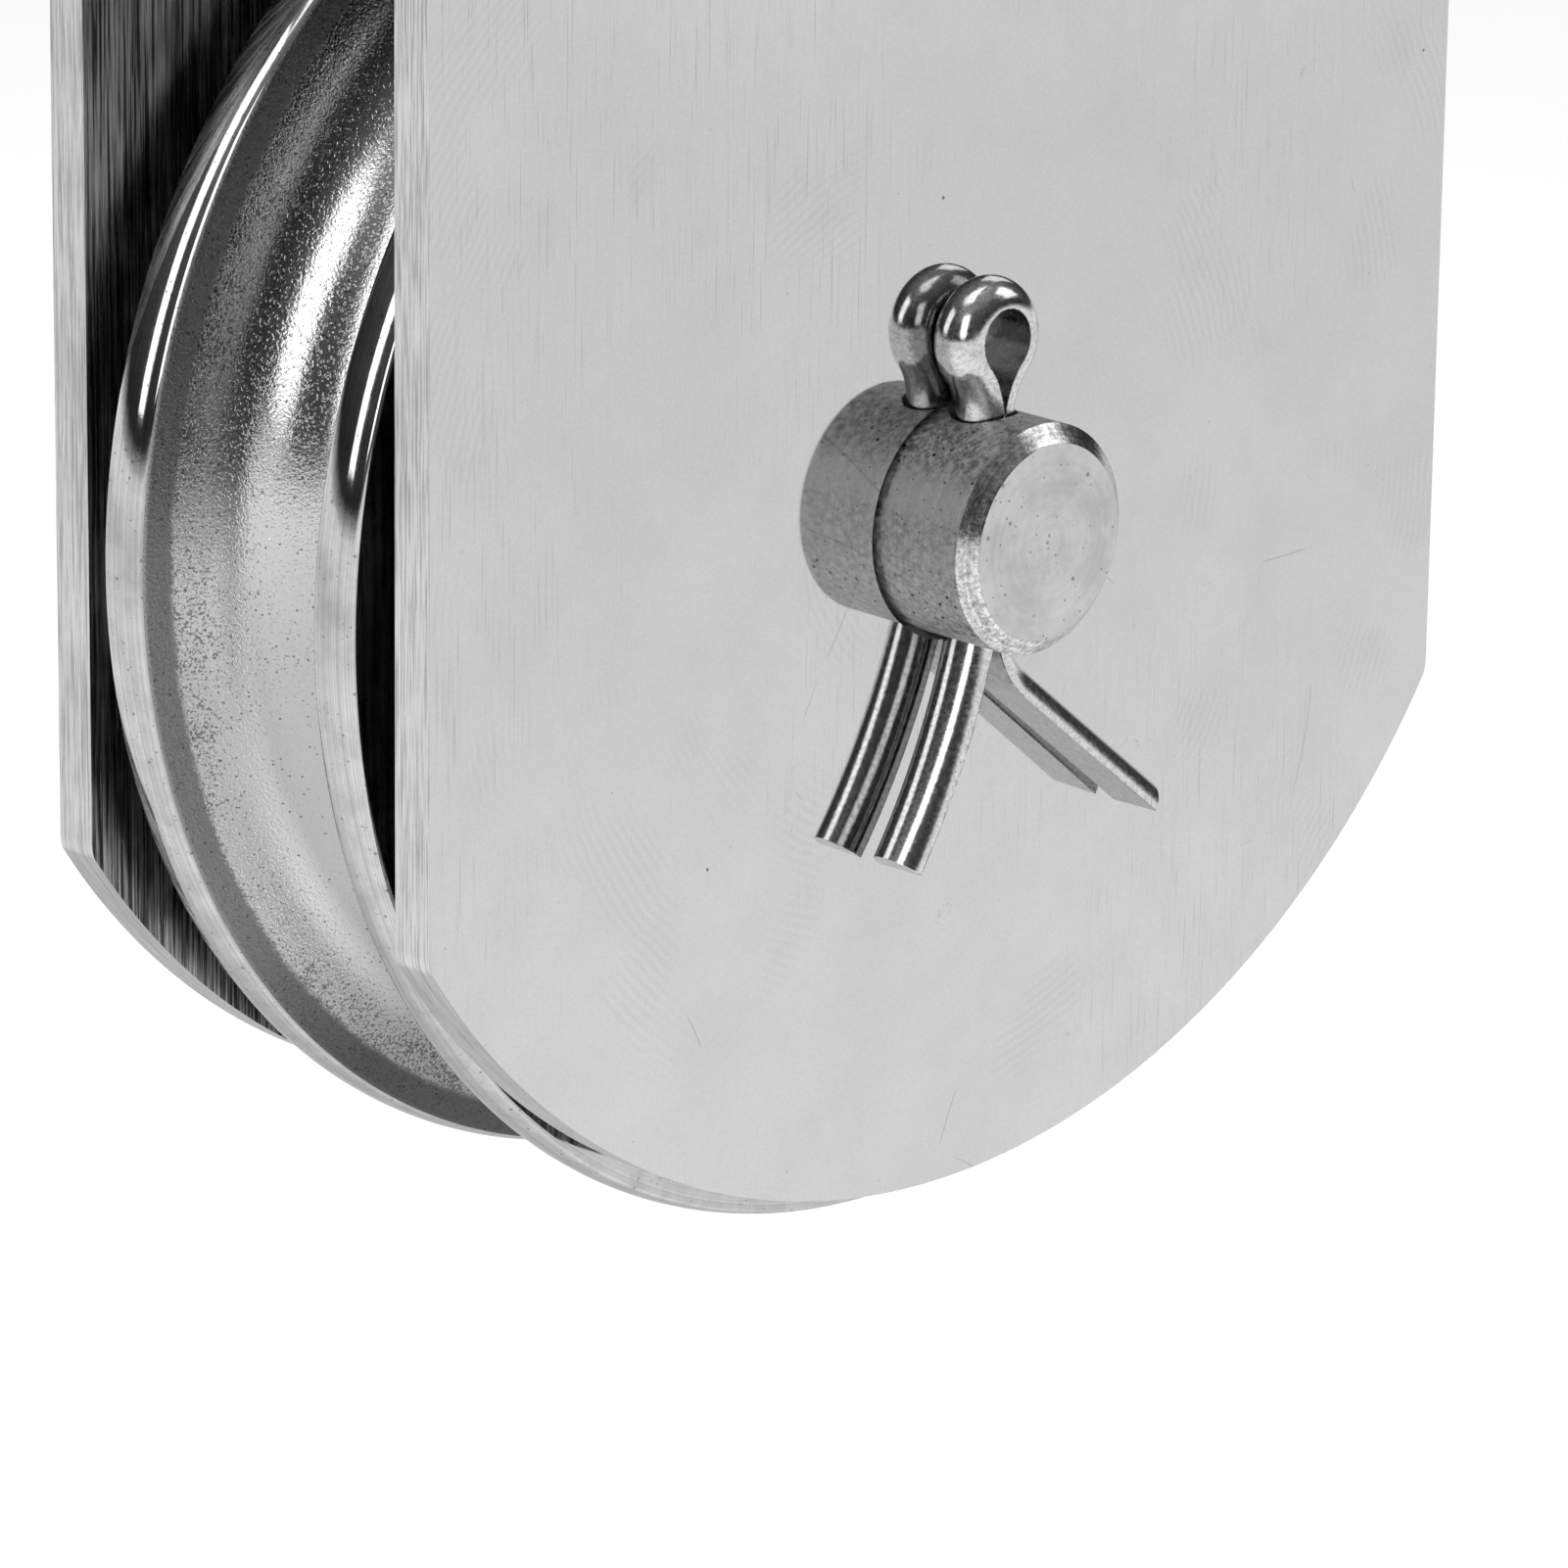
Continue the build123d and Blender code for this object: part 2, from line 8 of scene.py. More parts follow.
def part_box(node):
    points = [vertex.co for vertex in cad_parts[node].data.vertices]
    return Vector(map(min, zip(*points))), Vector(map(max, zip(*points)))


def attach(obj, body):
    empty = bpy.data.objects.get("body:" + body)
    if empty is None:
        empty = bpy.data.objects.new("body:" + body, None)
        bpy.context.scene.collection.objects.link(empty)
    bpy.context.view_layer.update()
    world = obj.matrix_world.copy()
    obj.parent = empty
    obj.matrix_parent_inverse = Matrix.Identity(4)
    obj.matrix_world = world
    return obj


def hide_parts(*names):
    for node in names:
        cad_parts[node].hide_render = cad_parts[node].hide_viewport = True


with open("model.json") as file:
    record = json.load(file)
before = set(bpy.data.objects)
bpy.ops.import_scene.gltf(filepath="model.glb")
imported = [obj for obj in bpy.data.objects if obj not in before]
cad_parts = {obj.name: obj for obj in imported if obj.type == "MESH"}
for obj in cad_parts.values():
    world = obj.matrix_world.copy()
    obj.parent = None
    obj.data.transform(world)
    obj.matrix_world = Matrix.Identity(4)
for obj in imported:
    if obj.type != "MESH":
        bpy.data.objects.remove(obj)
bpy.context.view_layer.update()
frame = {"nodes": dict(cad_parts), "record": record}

# Camera: left of the split pin's side and a little above, a long lens close in, so that the
# photograph's top edge cuts the block off above the axle.
pin_low, pin_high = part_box("axle_pin")
axle = Vector((0, 0, (pin_low[2] + pin_high[2]) / 2))
azimuth = math.radians(-45.44)
elevation = math.radians(17.71)
roll = math.radians(0.715)
distance = 0.625
aim_across = 0.00102
aim_up = -0.02182
focal_pixels = 9362
photo_pixels = 1601

back = Vector((
    math.sin(azimuth) * math.cos(elevation),
    -math.cos(azimuth) * math.cos(elevation),
    math.sin(elevation),
))
level = Vector((math.cos(azimuth), math.sin(azimuth), 0))
upright = back.cross(level)
camera_right = level * math.cos(roll) + upright * math.sin(roll)
camera_up = upright * math.cos(roll) - level * math.sin(roll)
camera_data = bpy.data.cameras.new("camera")
camera_data.sensor_width = 36
camera_data.lens = camera_data.sensor_width * focal_pixels / photo_pixels
camera_data.clip_start = 0.01
camera = bpy.data.objects.new("camera", camera_data)
bpy.context.scene.collection.objects.link(camera)
place = axle + camera_right * aim_across + camera_up * aim_up + back * distance
turn = Matrix((camera_right, camera_up, back)).transposed().to_4x4()
camera.matrix_world = Matrix.Translation(place) @ turn
bpy.context.scene.camera = camera
bpy.context.scene.view_settings.view_transform = "Standard"


def linear(hex_colour):
    """An sRGB hex colour as a linear colour with alpha."""
    parts = [int(hex_colour[i:i + 2], 16) / 255 for i in (1, 3, 5)]
    return [c / 12.92 if c <= 0.04045 else ((c + 0.055) / 1.055) ** 2.4 for c in parts] + [1.0]


# Settings that many nodes share.
smooth = {"interpolation_type": "SMOOTHSTEP"}
times = {"operation": "MULTIPLY"}
times_plus = {"operation": "MULTIPLY_ADD"}


def add(tree, kind, settings=None, **inputs):
    """Adds one node. settings are its properties. inputs are values, or sockets or nodes that feed it,
    under a socket's name with _ for a space, or under its number as n0, n1 and so on."""
    node = tree.nodes.new(kind)
    for key, value in (settings or {}).items():
        setattr(node, key, value)
    for key, value in inputs.items():
        name = key.replace("_", " ")
        socket = node.inputs[int(name[1:])] if name[0] == "n" and name[1:].isdigit() else node.inputs[name]
        if isinstance(value, bpy.types.Node):
            value = value.outputs[0]
        if isinstance(value, bpy.types.NodeSocket):
            tree.links.new(value, socket)
        else:
            socket.default_value = value
    return node


def new_material(name):
    """An empty node material and its tree and output node."""
    material = bpy.data.materials.new(name)
    material.use_nodes = True
    tree = material.node_tree
    tree.nodes.clear()
    return material, tree, tree.nodes.new("ShaderNodeOutputMaterial")


# Floor: plain white paper far below the hanging block, which the camera and bright metal see lit.
# The metal sees it greyer behind the block, so that the block's undersides keep an outline, and far
# off it pales to the room's white, so that no horizon shows.
floor_drop = 0.42
floor_size = 14.0
floor_white = linear("#F2F2F2")
floor_glow = 0.66
shadow_glow = 0.1
shadow_centre = (0.35, 0.5)
shadow_core = 0.25
shadow_end = 0.7
paling_from = 1.6
paling_to = 3.2
floor_mesh = bpy.data.meshes.new("floor")
floor_bm = bmesh.new()
bmesh.ops.create_grid(floor_bm, x_segments=1, y_segments=1, size=floor_size / 2)
bmesh.ops.translate(floor_bm, verts=floor_bm.verts, vec=(0, 0, axle.z - floor_drop))
floor_bm.to_mesh(floor_mesh)
floor_bm.free()
floor = bpy.data.objects.new("floor", floor_mesh)
bpy.context.scene.collection.objects.link(floor)
floor_paint, tree, out = new_material("white_studio_paper")
seen = add(tree, "ShaderNodeLightPath")
looked_at = add(tree, "ShaderNodeMath", {"operation": "MAXIMUM"},
                n0=seen.outputs["Is Glossy Ray"], n1=seen.outputs["Is Transmission Ray"])
by_camera = add(tree, "ShaderNodeMath", {"operation": "MAXIMUM"},
                n0=looked_at.outputs[0], n1=seen.outputs["Is Camera Ray"])
matt = add(tree, "ShaderNodeBsdfDiffuse", Color=floor_white)
spot = add(tree, "ShaderNodeTexCoord").outputs["Object"]
on_floor = add(tree, "ShaderNodeMapping", Vector=spot, Scale=(1, 1, 0),
               Location=(-shadow_centre[0], -shadow_centre[1], 0))
away = add(tree, "ShaderNodeVectorMath", {"operation": "LENGTH"}, n0=on_floor).outputs["Value"]
shaded = add(tree, "ShaderNodeMapRange", smooth, Value=away, From_Min=shadow_core, From_Max=shadow_end,
             To_Min=shadow_glow, To_Max=floor_glow)
bright = add(tree, "ShaderNodeMix", Factor=seen.outputs["Is Camera Ray"], A=shaded, B=floor_glow)
far_off = add(tree, "ShaderNodeMapRange", smooth, Value=away, From_Min=paling_from, From_Max=paling_to,
              To_Min=bright, To_Max=1.0)
glow = add(tree, "ShaderNodeEmission", Color=(1, 1, 1, 1), Strength=far_off)
lit = add(tree, "ShaderNodeAddShader", n0=matt.outputs[0], n1=glow.outputs[0])
mixed = add(tree, "ShaderNodeMixShader", Fac=by_camera.outputs[0], n1=matt.outputs[0], n2=lit.outputs[0])
tree.links.new(mixed.outputs[0], out.inputs["Surface"])
floor_mesh.materials.append(floor_paint)

# Studio: the camera sees plain white. The metal sees a grey room above the white floor, with soft
# boxes at the left front, right, back and above that draw its highlights. A narrow one behind on
# the left draws the long streak on the wheel's rims.
room_low = linear("#E8E8E8")
room_dark = linear("#323232")
room_mid = linear("#626262")
room_top = linear("#B4B4B4")
below_horizon = 0.475
above_horizon = 0.505
half_way_up = 0.75
world = bpy.data.worlds.new("studio")
bpy.context.scene.world = world
world.use_nodes = True
tree = world.node_tree
tree.nodes.clear()
out = tree.nodes.new("ShaderNodeOutputWorld")
seen = add(tree, "ShaderNodeLightPath")
way = add(tree, "ShaderNodeTexCoord")
height = add(tree, "ShaderNodeSeparateXYZ", Vector=way.outputs["Generated"])
share = add(tree, "ShaderNodeMapRange", Value=height.outputs["Z"], n1=-1.0, n2=1.0)
room = add(tree, "ShaderNodeValToRGB", Fac=share.outputs[0])
ramp = room.color_ramp
ramp.elements[0].position, ramp.elements[0].color = below_horizon, room_low
ramp.elements[1].position, ramp.elements[1].color = 1.0, room_top
for position, colour in ((above_horizon, room_dark), (half_way_up, room_mid)):
    stop = ramp.elements.new(position)
    stop.color = colour
shade = add(tree, "ShaderNodeMixRGB", Fac=seen.outputs["Is Camera Ray"], Color1=room.outputs[0],
            Color2=(1, 1, 1, 1))
sky = add(tree, "ShaderNodeBackground", Color=shade.outputs[0], Strength=1.0)
tree.links.new(sky.outputs[0], out.inputs["Surface"])


def soft_box(name, direction, reach, size, brightness):
    """A soft box at a distance from the axle, facing it. brightness is its radiance, 1 being white."""
    lamp_data = bpy.data.lights.new(name, "AREA")
    lamp_data.shape = "RECTANGLE"
    lamp_data.size, lamp_data.size_y = size
    lamp_data.energy = brightness * math.pi * size[0] * size[1]
    lamp = bpy.data.objects.new(name, lamp_data)
    bpy.context.scene.collection.objects.link(lamp)
    towards = Vector(direction).normalized()
    facing = towards.to_track_quat("Z", "Y").to_matrix().to_4x4()
    lamp.matrix_world = Matrix.Translation(axle + towards * reach) @ facing


soft_box("soft_box_left", (-0.72, -0.60, 0.42), 1.3, (0.5, 0.85), 3.0)
soft_box("soft_box_right", (0.75, -0.45, 0.55), 1.5, (0.6, 0.8), 2.0)
soft_box("soft_box_back", (0.30, 0.80, 0.50), 1.5, (0.35, 0.9), 2.2)
soft_box("soft_box_strip", (-0.79, 0.33, 0.52), 1.3, (0.26, 1.3), 2.8)
soft_box("soft_box_top", (-0.05, 0.10, 1.0), 1.5, (1.3, 0.9), 1.8)

# Strap: one stainless flat bar, bent over the crown into two cheeks. Its faces keep the mill's
# bright finish with fine brush lines up and down, and its rolled edges are duller.
MM = 0.001
cheek_gap = 29.5 * MM
bar_thickness = 3.2 * MM
strap_width = 97 * MM
end_radius = 58 * MM
end_below_axle = 46.9 * MM
corner_round = 1.6 * MM
bend_inside = 3.2 * MM
shoulder_above_axle = 47 * MM
crown_above_axle = 78 * MM
crown_half = 28 * MM
shoulder_round = 12 * MM
axle_hole = 8.35 * MM
swivel_hole = 8.5 * MM
bar_edge_round = 0.25 * MM

same_place = 1e-6

half_gap = cheek_gap / 2
half_width = strap_width / 2
end_centre = axle.z - end_below_axle + end_radius
crown_z = axle.z + crown_above_axle
bend_z = crown_z - bend_inside
shoulder_z = axle.z + shoulder_above_axle
neck_z = crown_z - bend_inside - shoulder_round / 2


def finish_mesh(name, bm, *materials):
    """Makes an object from a bmesh, smooth shaded, with its material slots."""
    mesh = bpy.data.meshes.new(name)
    bm.to_mesh(mesh)
    bm.free()
    for material in materials:
        mesh.materials.append(material)
    mesh.shade_smooth()
    piece = bpy.data.objects.new(name, mesh)
    bpy.context.scene.collection.objects.link(piece)
    return piece


def round_edges(piece, name, width, segments, sharper_than, material=-1):
    """Rounds the edges of a piece that are sharper than an angle in degrees."""
    bevel = piece.modifiers.new(name, "BEVEL")
    bevel.width = width
    bevel.segments = segments
    bevel.limit_method = "ANGLE"
    bevel.angle_limit = math.radians(sharper_than)
    bevel.harden_normals = True
    bevel.material = material


def edge_ring(bm, radius, centre, segments, turn):
    """The edges of a circle, turned by a matrix and moved to its centre."""
    made = bmesh.ops.create_circle(bm, radius=radius, segments=segments,
                                   matrix=Matrix.Translation(centre) @ turn)
    return list({edge for vert in made["verts"] for edge in vert.link_edges})


facing_y = Matrix.Rotation(math.pi / 2, 4, "X")
strap_bm = bmesh.new()
edge_ring(strap_bm, end_radius, (0, -half_gap, end_centre), 480, facing_y)
for point, normal in (((half_width, 0, 0), (1, 0, 0)), ((-half_width, 0, 0), (-1, 0, 0)),
                      ((0, 0, end_centre), (0, 0, 1))):
    everything = strap_bm.verts[:] + strap_bm.edges[:]
    bmesh.ops.bisect_plane(strap_bm, geom=everything, plane_co=point, plane_no=normal, clear_outer=True)
ends = sorted((v for v in strap_bm.verts if len(v.link_edges) == 1), key=lambda v: v.co.x)
corners = [(half_width, shoulder_z), (crown_half, neck_z), (crown_half, bend_z),
           (-crown_half, bend_z), (-crown_half, neck_z), (-half_width, shoulder_z)]
outline = [strap_bm.verts.new((x, -half_gap, z)) for x, z in corners]
for first, second in zip([ends[1]] + outline, outline + [ends[0]]):
    strap_bm.edges.new((first, second))
bmesh.ops.contextual_create(strap_bm, geom=strap_bm.edges[:])
shoulder_turn = math.atan2(half_width - crown_half, neck_z - shoulder_z)
shoulders = [outline[i] for i in (0, 1, 4, 5)]
bmesh.ops.bevel(strap_bm, geom=shoulders, offset=shoulder_round * math.tan(shoulder_turn / 2),
                segments=12, profile=0.5, affect="VERTICES", material=-1)
bottom_corners = [v for v in strap_bm.verts
                  if abs(abs(v.co.x) - half_width) < same_place and v.co.z < axle.z]
bmesh.ops.bevel(strap_bm, geom=bottom_corners, offset=corner_round / 2,
                segments=6, profile=0.5, affect="VERTICES", material=-1)
bmesh.ops.delete(strap_bm, geom=strap_bm.faces[:], context="FACES_ONLY")
edge_ring(strap_bm, axle_hole, (0, -half_gap, axle.z), 128, facing_y)
bmesh.ops.triangle_fill(strap_bm, edges=strap_bm.edges[:], use_beauty=True)
top_edges = [e for e in strap_bm.edges if all(abs(v.co.z - bend_z) < same_place for v in e.verts)]
bend = bmesh.ops.spin(strap_bm, geom=top_edges, cent=(0, -half_gap + bend_inside, bend_z),
                      axis=(-1, 0, 0), angle=math.pi / 2, steps=10, use_duplicate=False)
last = [g for g in bend["geom_last"] if isinstance(g, bmesh.types.BMVert)]
last.sort(key=lambda v: v.co.x)
middle = [strap_bm.verts.new((side * crown_half, 0, crown_z)) for side in (-1, 1)]
hole = edge_ring(strap_bm, swivel_hole, (0, 0, crown_z), 96, Matrix.Identity(4))
hole_verts = list({v for e in hole for v in e.verts})
bmesh.ops.bisect_plane(strap_bm, geom=hole + hole_verts, plane_co=(0, 0, 0), plane_no=(0, 1, 0),
                       clear_outer=True)
hole_verts = [v for v in strap_bm.verts
              if v not in last and v not in middle and abs(v.co.z - crown_z) < same_place]
bmesh.ops.remove_doubles(strap_bm, verts=hole_verts, dist=same_place)
hole_ends = [v for v in strap_bm.verts if abs(v.co.y) < same_place and v not in middle]
hole_ends.sort(key=lambda v: v.co.x)
crown_edges = [strap_bm.edges.new((last[0], middle[0])), strap_bm.edges.new((last[-1], middle[1])),
               strap_bm.edges.new((middle[0], hole_ends[0])),
               strap_bm.edges.new((middle[1], hole_ends[-1]))]
crown_edges += [e for e in strap_bm.edges if not e.link_faces and e not in crown_edges
                and all(abs(v.co.z - crown_z) < same_place for v in e.verts)]
crown_edges += [e for e in strap_bm.edges if len(e.link_faces) == 1
                and e.verts[0] in last and e.verts[1] in last]
bmesh.ops.triangle_fill(strap_bm, edges=list(set(crown_edges)), use_beauty=True)
bmesh.ops.mirror(strap_bm, geom=strap_bm.verts[:] + strap_bm.edges[:] + strap_bm.faces[:],
                 merge_dist=same_place, axis="Y")
bmesh.ops.remove_doubles(strap_bm, verts=strap_bm.verts, dist=same_place)
bmesh.ops.recalc_face_normals(strap_bm, faces=strap_bm.faces)
front_face = max((f for f in strap_bm.faces if f.calc_center_median().y < same_place - half_gap),
                 key=lambda f: f.calc_area())
if front_face.normal.y > 0:
    bmesh.ops.reverse_faces(strap_bm, faces=strap_bm.faces)


def pitted(tree, spot, tone, spacing_mm, radius_mm, left_out, darkness):
    """Darkens a tone by a small round pit in some of the cells of a given spacing."""
    cells = add(tree, "ShaderNodeTexVoronoi", Vector=spot, Scale=1000 / spacing_mm)
    draw = add(tree, "ShaderNodeSeparateColor", Color=cells.outputs["Color"])
    reach = radius_mm / spacing_mm
    pit = add(tree, "ShaderNodeMapRange", smooth, Value=cells, From_Min=0.5 * reach, From_Max=reach,
              To_Min=1 - darkness, To_Max=1.0)
    here = add(tree, "ShaderNodeMath", {"operation": "GREATER_THAN"}, n0=draw, n1=left_out)
    marked = add(tree, "ShaderNodeMath", times, n0=tone, n1=pit)
    return add(tree, "ShaderNodeMix", Factor=here, A=tone, B=marked)


def steel_surface(tree, out, tint, tone, roughness, height, depth):
    """Joins the parts of a metal's look to its output and returns the node that mixes its colour."""
    bump = add(tree, "ShaderNodeBump", Height=height, Strength=1.0, Distance=depth)
    colour = add(tree, "ShaderNodeMix", {"data_type": "RGBA", "blend_type": "MULTIPLY"}, n0=1.0,
                 n6=linear(tint), n7=tone)
    metal = add(tree, "ShaderNodeBsdfPrincipled", Base_Color=colour.outputs[2], Metallic=1.0,
                Roughness=roughness, Normal=bump)
    tree.links.new(metal.outputs[0], out.inputs["Surface"])
    return colour


def brushed_steel(name, tint, rough, line_mm, line_reach, line_shade, line_depth, cloud_shade,
                  least_lined=0.5, lined_from=0.34, lined_fade=0.24, along_edge=False):
    """Stainless rubbed one way: fine straight lines that come and go, and a faint cloudiness. The lines
    run round the bar's edge, or else up and down. Returns what the wear of a face is added to."""
    material, tree, out = new_material(name)
    spot = add(tree, "ShaderNodeTexCoord").outputs["Object"]
    across = 1000 / line_mm
    along = across / line_reach
    drawn = add(tree, "ShaderNodeMapping", Vector=spot,
                Scale=(along, across, along) if along_edge else (across, along, along))
    lines = add(tree, "ShaderNodeTexNoise", Vector=drawn, Scale=1.0, Detail=3.0, Roughness=0.65)
    patch = add(tree, "ShaderNodeTexNoise", Vector=spot, Scale=26.0, Detail=2.0, Roughness=0.5)
    cloud = add(tree, "ShaderNodeTexNoise", Vector=spot, Scale=90.0, Detail=8.0, Roughness=0.7)
    line_tone = add(tree, "ShaderNodeMapRange", smooth, Value=lines, From_Min=lined_from,
                    From_Max=lined_from + lined_fade, To_Min=1 - line_shade, To_Max=1.0)
    shown = add(tree, "ShaderNodeMapRange", smooth, Value=patch, From_Min=0.4, From_Max=0.6,
                To_Min=least_lined, To_Max=1.0)
    faded = add(tree, "ShaderNodeMix", Factor=shown, A=1.0, B=line_tone)
    cloud_tone = add(tree, "ShaderNodeMapRange", smooth, Value=cloud, From_Min=0.3, From_Max=0.7,
                     To_Min=1 - cloud_shade, To_Max=1.0)
    tone = add(tree, "ShaderNodeMath", times, n0=faded, n1=cloud_tone)
    roughness = add(tree, "ShaderNodeMapRange", smooth, Value=cloud, From_Min=0.3, From_Max=0.7,
                    To_Min=0.8 * rough, To_Max=1.25 * rough)
    colour = steel_surface(tree, out, tint, tone, roughness, lines, line_depth)
    return material, tree, spot, tone, colour


# Bright mill finish: it mirrors the pin sharply, in a pale grey sheet with short, sparse brush marks.
cheek_face, tree, spot, tone, colour = brushed_steel(
    "bright_mill_finish_steel", "#C8C8C8", rough=0.05, line_mm=0.14, line_reach=60, line_shade=0.26,
    line_depth=3e-7, cloud_shade=0.07, least_lined=0.0, lined_from=0.29, lined_fade=0.14)

# Its wear: a fine tooth, pores, polishing swirls about the pin, hair scratches and small bruises.
tooth_mm = 0.2
tooth_shade = 0.06
swirl_centre_x = -4 * MM
swirl_shade = 0.05
hair_wander = 5 * MM
hair_shade = 0.25
bruise_shade = 0.25
tooth = add(tree, "ShaderNodeTexNoise", Vector=spot, Scale=1000 / tooth_mm, Detail=2.0, Roughness=0.7)
tooth_tone = add(tree, "ShaderNodeMapRange", smooth, Value=tooth, From_Min=0.3, From_Max=0.7,
                 To_Min=1 - tooth_shade, To_Max=1.0)
tone = add(tree, "ShaderNodeMath", times, n0=tone, n1=tooth_tone)
tone = pitted(tree, spot, tone, spacing_mm=7.0, radius_mm=0.17, left_out=0.5, darkness=0.7)
tone = pitted(tree, spot, tone, spacing_mm=2.6, radius_mm=0.08, left_out=0.4, darkness=0.4)
about_pin = add(tree, "ShaderNodeMapping", Vector=spot, Location=(-swirl_centre_x, 0, -axle.z))
swirl = add(tree, "ShaderNodeTexWave", {"wave_type": "RINGS", "rings_direction": "Y"}, Vector=about_pin,
            Scale=460.0, Distortion=5.0, Detail=2.0, Detail_Scale=0.4)
swirled = add(tree, "ShaderNodeTexNoise", Vector=spot, Scale=95.0, Detail=1.0)
swirl_shown = add(tree, "ShaderNodeMapRange", smooth, Value=swirled, From_Min=0.56, From_Max=0.7,
                  To_Min=0.0, To_Max=swirl_shade)
swirl_mark = add(tree, "ShaderNodeMath", times, n0=swirl.outputs[1], n1=swirl_shown)
swirl_tone = add(tree, "ShaderNodeMath", {"operation": "SUBTRACT"}, n0=1.0, n1=swirl_mark)
tone = add(tree, "ShaderNodeMath", times, n0=tone, n1=swirl_tone)
wander = add(tree, "ShaderNodeTexNoise", Vector=spot, Scale=45.0, Detail=1.0)
bent = add(tree, "ShaderNodeVectorMath", times_plus, n0=wander.outputs["Color"],
           n1=(hair_wander, hair_wander, hair_wander), n2=spot)
seams = add(tree, "ShaderNodeTexVoronoi", {"feature": "DISTANCE_TO_EDGE"}, Vector=bent, Scale=34.0)
hair = add(tree, "ShaderNodeMapRange", smooth, Value=seams, From_Min=0.0006, From_Max=0.0022,
           To_Min=1 - hair_shade, To_Max=1.0)
chance = add(tree, "ShaderNodeTexNoise", Vector=spot, Scale=55.0, Detail=3.0, Roughness=0.7)
where = add(tree, "ShaderNodeMapRange", smooth, Value=chance, From_Min=0.56, From_Max=0.6)
scratched = add(tree, "ShaderNodeMix", Factor=where, A=1.0, B=hair)
tone = add(tree, "ShaderNodeMath", times, n0=tone, n1=scratched)
dent = add(tree, "ShaderNodeTexNoise", Vector=spot, Scale=230.0, Detail=8.0, Roughness=0.85)
bruise = add(tree, "ShaderNodeMapRange", smooth, Value=dent, From_Min=0.63, From_Max=0.7,
             To_Min=1.0, To_Max=1 - bruise_shade)
tone = add(tree, "ShaderNodeMath", times, n0=tone, n1=bruise)
tree.links.new(tone.outputs[0], colour.inputs[7])

# Inside nobody polished the bar: coarse streaks that catch light one by one against painted shade.
cheek_inner = brushed_steel(
    "coarse_brushed_steel_painted_shade", "#E8E8E8", rough=0.36, line_mm=0.17, line_reach=60, line_shade=0.92,
    line_depth=3e-5, cloud_shade=0.3, least_lined=1.0, lined_from=0.38)[0]
# Sawn and rubbed edges: duller, with plain lines round the bar. Corners darkened with painted shade.
cheek_edge = brushed_steel(
    "rubbed_edge_steel", "#D2D2D2", rough=0.24, line_mm=0.14, line_reach=40, line_shade=0.45,
    line_depth=6e-6, cloud_shade=0.22, least_lined=0.7, along_edge=True)[0]
cheek_corner = brushed_steel(
    "dark_painted_corner_steel", "#5A5A5A", rough=0.3, line_mm=0.25, line_reach=60, line_shade=0.4,
    line_depth=2e-6, cloud_shade=0.2, along_edge=True)[0]
strap = finish_mesh("strap", strap_bm, cheek_face, cheek_inner, cheek_edge, cheek_corner)
thick = strap.modifiers.new("bar thickness", "SOLIDIFY")
thick.thickness = bar_thickness
thick.offset = 1
thick.use_even_offset = True
thick.material_offset = 1
thick.material_offset_rim = 2
round_edges(strap, "rolled edges", bar_edge_round, segments=2, sharper_than=50, material=3)
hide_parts("frame_strap")
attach(strap, "frame")

# Sheave: a stainless casting. The rope groove keeps the pitted skin of the mould, and the rims and
# sides are turned and polished.
sheave_radius = 50 * MM
sheave_half = 12 * MM
groove_half = 8.2 * MM
groove_depth = 10.5 * MM
flank_angle = math.radians(12)
seat_radius = 20 * MM
shoulder_bore = 17.4 * MM
seat_half = 6 * MM
hub_outside = 27 * MM
dish_depth = 3 * MM
dish_outside = 36.5 * MM
hub_slope = 0.75 * MM
rim_crown = 0.42 * MM
rim_steps = (-1, -0.7, -0.4, -0.13, 0.13, 0.4, 0.7, 1)
sheave_edge_round = 0.35 * MM
rim_middle = (sheave_half + groove_half) / 2
rim_half = (sheave_half - groove_half) / 2

flank_foot = groove_half - groove_depth * math.tan(flank_angle)
groove_arc = flank_foot * math.cos(flank_angle) / (1 - math.sin(flank_angle))
tread = sheave_radius - groove_depth


def turned_profile(bm, corners):
    """Joins (radius, y) corners by straight edges and returns their vertices."""
    verts = [bm.verts.new((radius, y, 0)) for radius, y in corners]
    for first, second in zip(verts, verts[1:]):
        bm.edges.new((first, second))
    return verts


def turn_round_axle(bm, steps):
    """Spins everything in the bmesh a full turn about the axle and closes the seam."""
    bmesh.ops.spin(bm, geom=bm.verts[:] + bm.edges[:], cent=(0, 0, 0), axis=(0, 1, 0),
                   angle=2 * math.pi, steps=steps, use_merge=True, use_duplicate=False)
    bmesh.ops.remove_doubles(bm, verts=bm.verts, dist=same_place)
    bmesh.ops.recalc_face_normals(bm, faces=bm.faces)
    bmesh.ops.translate(bm, verts=bm.verts, vec=axle)


sheave_bm = bmesh.new()
rim = [(sheave_radius - rim_crown * step * step, rim_middle + step * rim_half) for step in rim_steps]
touch = (tread + groove_arc * (1 - math.sin(flank_angle)), groove_arc * math.cos(flank_angle))
front_rim = turned_profile(sheave_bm, [
    (touch[0], -touch[1]), *[(radius, -y) for radius, y in rim],
    (dish_outside, -sheave_half), (dish_outside - dish_depth, -sheave_half + dish_depth),
    (hub_outside, -sheave_half + dish_depth), (hub_outside - hub_slope, -sheave_half),
    (seat_radius, -sheave_half), (seat_radius, seat_half), (shoulder_bore, seat_half),
    (shoulder_bore, sheave_half), (hub_outside - hub_slope, sheave_half),
    (hub_outside, sheave_half - dish_depth), (dish_outside - dish_depth, sheave_half - dish_depth),
    (dish_outside, sheave_half), *rim[::-1], (touch[0], touch[1]),
])
